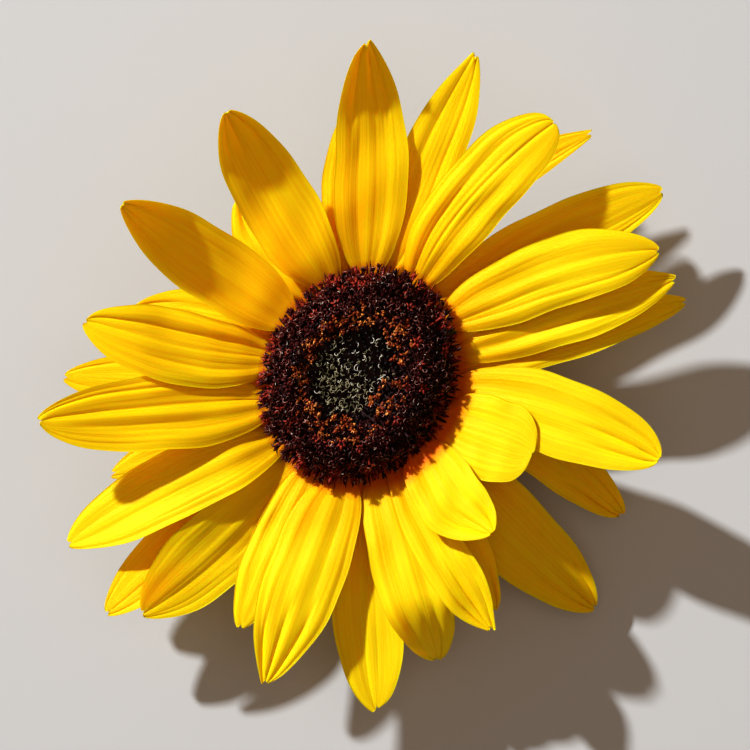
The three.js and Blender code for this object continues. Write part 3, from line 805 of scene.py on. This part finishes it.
def map_cells(points):
    cells = np.round(points[..., :2] / MAP_CELL).astype(int) + MAP_HALF
    return cells[..., 0], cells[..., 1]


def dense(grid):
    """A grid filled up until the map has no holes under it, and where its rows lie."""
    count = len(grid) - 1
    rows = np.repeat(np.arange(count), 3) + np.tile([0, 1 / 3, 2 / 3], count)
    low = rows.astype(int)
    part = (rows - low)[:, None, None]
    finer = grid[low] * (1 - part) + grid[low + 1] * part
    between = (finer[:, 1:] + finer[:, :-1]) / 2
    return np.concatenate([finer, between], axis=1), rows


def lift_rows(grid, need):
    """Lifts each row by what the rows near it need. A lift fades faster towards the foot."""
    middle = grid[:, grid.shape[1] // 2, :2]
    apart = np.linalg.norm(middle[:, None] - middle[None, :], axis=-1)
    numbers = np.arange(len(grid))
    fade = np.where(numbers[None, :] > numbers[:, None], FADE_TO_FOOT, FADE_TO_TIP)
    lifts = np.maximum(0, (need[None, :] - apart * fade).max(axis=1))
    kernel = np.hanning(2 * LIFT_BLUR + 1)
    padded = np.pad(lifts, LIFT_BLUR, mode="edge")
    smooth = np.convolve(padded, kernel / kernel.sum(), mode="valid")
    smooth = smooth + 0.5 * max(0.0, (lifts - smooth).max())
    grid[..., 2] += smooth[:, None]


def lay_petals():
    """Lays the petals on each other, lowest layer first, each lifted clear of those under it."""
    tops = np.full((2 * MAP_HALF, 2 * MAP_HALF), MAP_EMPTY)
    grids = {}
    for _, n in sorted((petal["layer"], n) for n, petal in enumerate(PETALS)):
        grid = petal_grid(PETALS[n], draw_character(n + 1))
        points, rows = dense(grid)
        x, y = map_cells(points)
        under = np.max([tops[x + dx, y + dy] for dx, dy in MAP_CROSS], axis=0)
        lift = (under + PETAL_CLEARANCE + PETAL_THICKNESS - points[..., 2]).max(axis=1)
        need = np.zeros(len(grid))
        np.maximum.at(need, np.floor(rows).astype(int), lift)
        np.maximum.at(need, np.minimum(np.ceil(rows).astype(int), len(grid) - 1), lift)
        lift_rows(grid, need)
        points, _ = dense(grid)
        np.maximum.at(tops, map_cells(points), points[..., 2])
        grids[n] = grid
    return grids


def add_petals():
    front = petal_material("front_petal", *FRONT_YELLOWS)
    back = petal_material("back_petal", *BACK_YELLOWS)
    grids = lay_petals()
    for n, petal in enumerate(PETALS):
        points, faces, uv = blade(grids[n], PETAL_THICKNESS, PETAL_SHARES, n)
        material, slot = (back, "back_petals") if petal["layer"] == 0 else (front, "front_petals")
        add_piece(f"petal_{n + 1:02d}", points, faces, material, slot, [f"ray_petal_{n + 1:02d}"], uv)


# Receptacle, bracts and stem

def cup_height(radius):
    share = np.clip((radius - CUP_FOOT_RADIUS) / (RIM_RADIUS - CUP_FOOT_RADIUS), 0, 1)
    return mix(CUP_FOOT, RIM_BOTTOM, share**CUP_CURVE)


def cup_relief(azimuth, height):
    return 0.12 * np.sin(CUP_RIBS * azimuth)


def add_receptacle(material):
    flank = [(r, cup_height(r)) for r in np.linspace(CUP_FOOT_RADIUS, RIM_RADIUS, 24)]
    profile = [(0, CUP_FOOT), *flank, (RIM_RADIUS + 0.1, 17.5), (RIM_RADIUS, RIM_TOP), (0, RIM_TOP)]
    points, faces = lathe(profile, 120, cup_relief)
    add_piece("receptacle_cup", points @ OVAL, faces, material, "bract_green", ["receptacle"])


def bract_grid(azimuth, heights, width, foot_radius, reach, foot_width, sunk, lap, curl):
    """The middle surface of a bract, with a height for each row."""
    share = BRACT_SHARES[:, None]
    side = np.linspace(-1, 1, BRACT_STRIPS + 1)[None, :]
    across = polar(1, azimuth + pi / 2, tan(radians(lap)))
    swell = np.sin(pi * np.minimum(share / 0.98, 1) ** 0.62)
    half = np.maximum(0.25, mix(foot_width, 0, share) + (width - 0.6 * foot_width) * swell) / 2
    swing = curl * np.sin(2.4 * share + azimuth * 5) * share
    place = polar(mix(foot_radius, reach, BRACT_SHARES), azimuth, heights)[:, None, :]
    place = place + across * (side * half + swing)[..., None]
    place[..., 2] -= sunk * (1 - share) * (1 - side**2)
    return place @ OVAL


def bract_hairs(grid, count):
    """Stiff pale hairs along a bract's two edges and over its underside."""
    normals = surface_normals(grid)
    last = grid.shape[1] - 1
    needles = []
    for _ in range(count):
        i = random.integers(2, len(grid) - 3)
        if chance() < HAIRS_ON_EDGE:
            j = random.choice([0, last])
            out = unit(grid[i, j] - grid[i, grid.shape[1] // 2] + 1e-6)
        else:
            j = random.integers(1, last)
            out = -normals[i, j]
        forward = unit(grid[i + 2, j] - grid[i, j])
        way = unit(out + 0.5 * forward + random.normal(0, HAIR_STRAY, 3))
        needles.append((grid[i, j], way, BRACT_HAIR_LENGTH * draw(0.6, 1.2)))
    return needles


def needle_mesh(needles):
    """Three-sided needles, each from its root, way and length."""
    points, faces = [], []
    for root, way, length in needles:
        aside = unit(np.cross(way, (0.3, 0.5, 0.81)))
        other = np.cross(way, aside)
        base = len(points)
        for angle in (0, FULL_TURN / 3, 2 * FULL_TURN / 3):
            points.append(root + HAIR_RADIUS * (aside * cos(angle) + other * sin(angle)))
        points.append(root + way * length)
        faces += [(base, base + 1, base + 3), (base + 1, base + 2, base + 3), (base + 2, base, base + 3)]
        faces.append((base, base + 2, base + 1))
    return above_floor(points), faces


def add_bracts(leaf, hair):
    needles = []
    foot = cup_height(OUTER_BRACT["foot_radius"]) - SEAT_GAP - OUTER_BRACT_SEAT
    arch = OUTER_BRACT_ARCH * np.sin(pi * BRACT_SHARES)
    heights = mix(foot, OUTER_BRACT_TIP, BRACT_SHARES**2.2) + arch
    for n in range(OUTER_BRACTS):
        grid = bract_grid(n / OUTER_BRACTS * FULL_TURN, heights, **OUTER_BRACT)
        points, faces, uv = blade(grid, BRACT_THICKNESS, BRACT_SHARES, n)
        name, node = f"outer_leaf_{n + 1:02d}", f"outer_bract_{n + 1:02d}"
        add_piece(name, above_floor(points), faces, leaf, "bract_green", [node], uv)
        needles += bract_hairs(grid, OUTER_BRACT_HAIRS)
    foot = cup_height(INNER_BRACT["foot_radius"]) - SEAT_GAP - INNER_BRACT_SEAT
    arch = INNER_BRACT_ARCH * np.sin(0.62 * pi * BRACT_SHARES)
    meshes, uvs = [], []
    for n in range(INNER_BRACTS):
        heights = foot - (0 if n % 2 else SEAT_GAP) + arch - INNER_BRACT_DROP * BRACT_SHARES**2
        azimuth = (n + 0.5) / INNER_BRACTS * FULL_TURN
        grid = bract_grid(azimuth, heights, INNER_BRACT_WIDTHS[n % 2], **INNER_BRACT)
        points, faces, uv = blade(grid, BRACT_THICKNESS, BRACT_SHARES, n)
        meshes.append((points, faces))
        uvs.append(uv)
        needles += bract_hairs(grid, INNER_BRACT_HAIRS)
    points, faces = join(meshes)
    add_piece("inner_leaves", points, faces, leaf, "bract_green", ["inner_bracts"], np.concatenate(uvs))
    add_piece("bract_hairs", *needle_mesh(needles), hair, "bract_green")


def stem_radius(share):
    return np.interp(share, *zip(*STEM_PROFILE)) * STEM_RADIUS


def stem_relief(azimuth, height):
    return 0.16 * np.cos(STEM_RIBS * azimuth) + 0.05 * np.cos(31 * azimuth + height)


def add_stem(skin, hair):
    flank = [(stem_radius(share), share * STEM_HEIGHT) for share in np.linspace(0, 1, 20)]
    points, faces = lathe([(0, 0), *flank, (0, STEM_HEIGHT)], 140, stem_relief)
    add_piece("stem_stalk", points, faces, skin, "stem", ["stem_stub"])
    needles = []
    for _ in range(STEM_HAIRS):
        azimuth = draw(0, FULL_TURN)
        share = draw(0.04, 0.9)
        root = polar(stem_radius(share), azimuth, share * STEM_HEIGHT)
        way = unit(polar(1, azimuth) + random.normal(0, HAIR_STRAY, 3))
        needles.append((root, way, draw(0.5, 1.3)))
    add_piece("stem_hairs", *needle_mesh(needles), hair, "stem")


# Disc florets, as (tissue, mesh) pairs that stand upright until they are placed

def disc_height(radius):
    rising = mix(EYE_HEIGHT, CREST_HEIGHT, ease((radius - HOLLOW_RADIUS) / (CREST_RADIUS - HOLLOW_RADIUS)))
    fall = np.clip((radius - CREST_RADIUS) / (DISC_RADIUS - CREST_RADIUS), 0, None) ** 2
    return np.where(radius < CREST_RADIUS, rising, mix(CREST_HEIGHT, EDGE_HEIGHT, fall))


def floret_lean(radius):
    """Florets lean with the disc's slope, and far outwards at its rim."""
    step = 0.4
    drop = disc_height(radius - step) - disc_height(min(radius + step, DISC_RADIUS))
    slope = atan2(drop, 2 * step)
    return mix(slope * 0.8, radians(EDGE_LEAN), min(radius / DISC_RADIUS, 1) ** 8)


def tube(path, radii, sides):
    """A closed tube along a few points, with a radius at each."""
    path = np.asarray(path, float)
    ways = unit(np.gradient(path, axis=0))
    aside = unit(np.cross(ways, (0.31, 0.52, 0.79)))
    other = np.cross(ways, aside)
    turns = np.arange(sides) / sides * FULL_TURN
    ring = aside[:, None] * np.cos(turns)[None, :, None] + other[:, None] * np.sin(turns)[None, :, None]
    points = (path[:, None] + ring * np.asarray(radii)[:, None, None]).reshape(-1, 3)
    faces = grid_faces(len(path), sides, closed=True)
    faces.append(tuple(range(sides))[::-1])
    faces.append(tuple(len(points) - sides + j for j in range(sides)))
    return points, faces


def upright_tube(heights, radii, sides=6):
    return tube([(0, 0, height) for height in heights], radii, sides)


def throat(foot, height):
    return upright_tube((foot, height * 0.6, height), (0.2, 0.3, 0.36))


def lobe(azimuth, foot_radius, foot_height, width, length, flare):
    """One pointed lobe that bends outwards, with three-sided sections."""
    out = polar(1, azimuth)
    aside = polar(1, azimuth + pi / 2)
    sections = []
    for share, wide in LOBE_SECTIONS:
        angle = flare * share
        reach = length * share
        centre = out * (foot_radius + reach * sin(angle)) + UP * (foot_height + reach * cos(angle))
        keel = (out * cos(angle) - UP * sin(angle)) * LOBE_THICKNESS * wide
        half = aside * width / 2 * wide
        sections.append(np.stack([centre - half, centre + keel, centre + half]))
    points = np.concatenate(sections)
    faces = grid_faces(len(sections), 3, closed=True)
    faces += [(2, 1, 0), (9, 10, 11)]
    return points, faces


def lobe_ring(foot_radius, width, length, flare, height, stray):
    """Five lobes round a mouth, one at a time."""
    turned, wider, longer, flared, raised = stray
    for n in range(LOBES):
        turn, stretch, spread, rise = random.normal(0, 1, 4)
        azimuth = n * FULL_TURN / LOBES + turned * turn
        own_height = height - 0.1 + raised * rise
        own_width, own_length = width * (1 + wider * stretch), length * (1 + longer * stretch)
        yield lobe(azimuth, foot_radius, own_height, own_width, own_length, flare + flared * spread)


def corolla(width, length, flare, height, foot=-BED_DEPTH):
    """Even lobes of one tissue on a slim tube."""
    return join([throat(foot, height), *lobe_ring(0.32, width, length, flare, height, EVEN_LOBES)])


def mixed_corolla(chances, width, length, flare, height):
    """Uneven lobes of several tissues on a slim tube."""
    parts = [("rust", throat(-BED_DEPTH, height))]
    for one in lobe_ring(0.3, width, length, flare, height, UNEVEN_LOBES):
        parts.append((pick(**chances), one))
    return parts


def strand(start, radius, sweep, rise, thickness):
    """A thin curled strand: an arc that lies nearly flat and is highest in its middle."""
    first = draw(0, FULL_TURN)
    steps = np.linspace(0, 1, len(STRAND_TAPER))
    angles = first + steps * sweep
    ring = np.stack([np.cos(angles), np.sin(angles), rise / radius * np.sin(pi * steps)], axis=-1)
    centre = ring[len(ring) // 2] * (1, 1, 0)
    return tube(start + radius * (ring - centre), thickness * STRAND_TAPER, 5)


def pointed_scale(width, length):
    return lobe(0, 0, SCALE_FOOT, width, length, SCALE_FLARE)


def turn_about_up(angle):
    c, s = cos(angle), sin(angle)
    return np.array([[c, -s, 0], [s, c, 0], [0, 0, 1]])


def placed(mesh, radius, azimuth, lean, spin, height):
    """Stands a floret on the disc, turned by spin and leant outwards."""
    points, faces = mesh
    c, s = cos(lean), sin(lean)
    tilt = np.array([[c, 0, s], [0, 1, 0], [-s, 0, c]])
    turned = turn_about_up(azimuth) @ tilt @ turn_about_up(spin)
    seat = polar(radius, azimuth, height) + EYE_SHIFT * (1 - 0.85 * (radius / DISC_RADIUS) ** 2)
    return (points @ turned.T + seat) @ OVAL, faces


def pick(**chances):
    return random.choice(list(chances), p=list(chances.values()))


def open_floret(share):
    """A floret of the outer ring: maroon lobes, a dark anther tube and a curled style."""
    near_rim = ease((share - TALL_FROM) / 0.1)
    lift = near_rim * (TALL_LIFT if chance() < TALL_SHARE else -LOW_DROP)
    # More red lobes towards the rim: painted sunlight on the lobes that lean out there
    sunny = 0.07 + 0.35 * ease((share - 0.88) / 0.1)
    shell = pick(red=sunny, maroon=0.8 - sunny, scale=0.2)
    size = draw(0.95, 1.3) * (1 + 0.25 * ease((share - 0.8) / 0.2))
    flare, mouth = draw(0.55, 1.0), draw(0.7, 1.5) + lift
    parts = [(shell, corolla(0.66 * size, 1.15 * size, flare, mouth))]
    parts.append(("anther", upright_tube((0.7 + lift, 1.7 + lift, 2.0 + lift), (0.17, 0.2, 0.08), 5)))
    if chance() < 0.5:
        radius, sweep = draw(0.3, 0.7), draw(1.2, 3.5)
        parts.append(("lilac", strand((0, 0, 1.95 + lift), radius, sweep, rise=0.2, thickness=0.055)))
    # A few pale strands, partly pale style tips and partly painted glints
    if chance() < 0.14:
        radius = draw(0.25, 0.5)
        parts.append(("pale", strand((0.2, 0, 1.8 + lift), radius, sweep=1.6, rise=0.1, thickness=0.055)))
    return parts


def rust_floret(bright):
    """A floret that sheds orange pollen: blunt lobes, a dusted tube and loose flakes."""
    chances = BRIGHT_LOBES if chance() < bright else DULL_LOBES
    width, length = draw(0.6, 0.85), draw(0.7, 1.3)
    flare, height = draw(0.4, 1.1), draw(0.4, 1.2)
    parts = mixed_corolla(chances, width, length, flare, height)
    core = pick(rust=0.35, ember=0.35, anther=0.3)
    parts.append((core, upright_tube((0.5, 1.2, 1.5, 1.7), (0.2, 0.27, 0.24, 0.08))))
    flakes = random.integers(0, 4) if chance() < bright else 0
    for _ in range(flakes):
        azimuth, height = draw(0, FULL_TURN), draw(0.9, 1.5)
        width, length = draw(0.35, 0.7), draw(0.4, 1.1)
        flake = lobe(azimuth, 0.3, height, width, length, flare=1.1)
        parts.append((pick(amber=0.5, rust=0.3, lilac=0.2), flake))
    return parts


def dusky_floret():
    """A maroon floret of the middle ring, less open than those outside it."""
    length, flare, height = draw(0.5, 0.85), draw(0.3, 0.7), draw(0.4, 0.9)
    parts = [("maroon", corolla(0.5, length, flare, height))]
    parts.append(("anther", upright_tube((0.4, 1.1, 1.5), (0.2, 0.26, 0.08))))
    if chance() < 0.35:
        parts.append(("lilac", strand((0, 0, 1.5), 0.3, draw(2, 4), rise=0.2, thickness=0.06)))
    return parts


def closed_bud(curls, pale_share):
    """A black bud under a few curled strands, a given share of them pale: partly pale tissue, partly painted
    glints.
    """
    parts = [("black", upright_tube((-0.8, 0.2, 0.7, 1.0), (0.35, 0.48, 0.36, 0.08)))]
    for _ in range(curls):
        tone = pick(olive=0.62 - pale_share, moss=0.38, pale=pale_share)
        start = polar(draw(0.1, 0.7), draw(0, FULL_TURN), draw(0.6, 1.4))
        radius, sweep = draw(0.3, 0.75), draw(1.2, 3.6)
        parts.append((tone, strand(start, radius, sweep, 0.25, draw(0.06, 0.09))))
    return parts


def in_rust_patch(radius, azimuth):
    place = polar(radius, azimuth)
    patches = ((polar(distance, radians(towards)), reach) for towards, distance, reach in RUST_PATCHES)
    return any(np.linalg.norm(place - middle) < reach for middle, reach in patches)


def floret_at(radius, azimuth):
    share = radius / DISC_RADIUS + random.normal(0, 0.025)
    if share > OPEN_FROM:
        return open_floret(share)
    if share > BUDS_TO:
        rusty, bright = (0.85, 0.85) if in_rust_patch(radius, azimuth) else (0.42, 0.25)
        return rust_floret(bright) if chance() < rusty else dusky_floret()
    if in_rust_patch(radius, azimuth) and chance() < 0.5:
        return rust_floret(0.6)
    if share > EYE_CURLS_TO:
        return closed_bud(int(chance() < 0.2), pale_share=0.2)
    # Painted shade and glints on the eye's upper side: fewer curls, and more of them pale
    upward = polar(radius, azimuth) @ EYE_SHADE_AND_GLINT_SIDE
    if upward > 0:
        curls = random.integers(1, 4) if chance() > 0.09 * upward else 0
        return closed_bud(curls, pale_share=0.4)
    return closed_bud(random.integers(2, 5), pale_share=0.06)


def add_florets(heaps):
    """Sets the florets out in the golden-angle spiral, with a dark scale beside each."""
    for n in range(DISC_FLORETS):
        radius = DISC_RADIUS * sqrt((n + 0.5) / DISC_FLORETS)
        azimuth = n * GOLDEN_ANGLE + random.normal(0, FLORET_JITTER) / max(radius, 1)
        near = min(max(radius + random.normal(0, FLORET_JITTER), 0), DISC_RADIUS)
        lean = floret_lean(near) + random.normal(0, 0.14)
        height = disc_height(near) + random.normal(0, 0.32)
        spin = draw(0, FULL_TURN)
        for tissue, mesh in floret_at(radius, azimuth):
            heaps[tissue].append(placed(mesh, near, azimuth, lean, spin, height))
        beside = pointed_scale(0.4, draw(1.6, 2.4))
        heaps["scale"].append(placed(beside, near + 0.5, azimuth + 0.4 / max(near, 1), lean, spin, height))


def fringe_floret(length):
    """A floret of the rim, with short lobes."""
    # The red lobes and strands of the rim are partly painted sunlight
    shell = pick(red=0.36, maroon=0.5, scale=0.14)
    size = draw(0.8, 1.15)
    parts = [(shell, corolla(0.75 * size, 1.15 * size, draw(0.25, 0.8), length, FRINGE_FOOT))]
    if chance() < 0.55:
        tone = pick(lilac=0.5, rust=0.25, red=0.25)
        radius, sweep = draw(0.4, 0.8), draw(1, 2.5)
        parts.append((tone, strand((0, 0, length + 0.5), radius, sweep, rise=0.2, thickness=0.06)))
    return parts


def fringe_places(count, lean, stray):
    """Azimuths and leans of a row round the rim."""
    for n in range(count):
        azimuth = (n + draw(-0.45, 0.45)) / count * FULL_TURN
        yield azimuth, radians(lean) + random.normal(0, stray)


def add_fringe(heaps):
    """Rows of florets and pointed scales that stand out over the petals' feet."""
    for count, radius, height, row_lean, length in FRINGE_FLORETS:
        for azimuth, lean in fringe_places(count, row_lean, 0.12):
            for tissue, mesh in fringe_floret(length * draw(0.7, 1.25)):
                heaps[tissue].append(placed(mesh, radius, azimuth, lean, draw(0, 6), height))
    for count, radius, height, row_lean, length in FRINGE_SCALES:
        for azimuth, lean in fringe_places(count, row_lean, 0.09):
            spike = pointed_scale(draw(0.6, 1.0), length * draw(0.75, 1.15))
            # Red scales are partly painted sunlight on the rim
            tissue = pick(red=0.3, maroon=0.45, scale=0.25)
            heaps[tissue].append(placed(spike, radius, azimuth, lean, random.normal(0, 0.3), height))


def add_disc():
    tissues = {name: plain_tissue(*values) for name, values in TISSUES.items()}
    heaps = {name: [] for name in tissues}
    add_florets(heaps)
    add_fringe(heaps)
    for name, meshes in heaps.items():
        points, faces = join(meshes)
        slot = TISSUE_SLOTS.get(name, "dark_florets")
        add_piece(f"florets_{name}", points, faces, tissues[name], slot, STANDS_FOR.get(name, ()))
    bed = [(r, disc_height(r) - BED_DEPTH) for r in np.linspace(DISC_RADIUS - 1, 0.5, 40)]
    outer = RIM_RADIUS + 0.3
    rim = [(outer, BED_FLOOR), (outer, RIM_TOP + 0.1), (RIM_RADIUS - 0.4, RIM_TOP + 0.3)]
    points, faces = lathe([(0, BED_FLOOR), *rim, *bed, (0, EYE_HEIGHT - BED_DEPTH)], 90)
    add_piece("disc_bed", points @ OVAL, faces, tissues["scale"], "dark_florets")


add_camera()
add_world()
add_floor()
add_light("key", **KEY_LAMP)
add_light("overhead_fill", **FILL_LAMP)
bpy.context.scene.view_settings.view_transform = "Standard"
bpy.context.scene.view_settings.look = "Medium High Contrast"

leaf = bract_material("bract_leaf", *BRACT_GREENS)
hair = plain_tissue("pale_hair", (0.5, 0.55, 0.38), (0.62, 0.66, 0.5), 0.5)
add_petals()
add_disc()
add_receptacle(plain_tissue("cup_green", (0.08, 0.14, 0.03), (0.14, 0.22, 0.06), 0.65))
add_bracts(leaf, hair)
add_stem(stem_material(), hair)
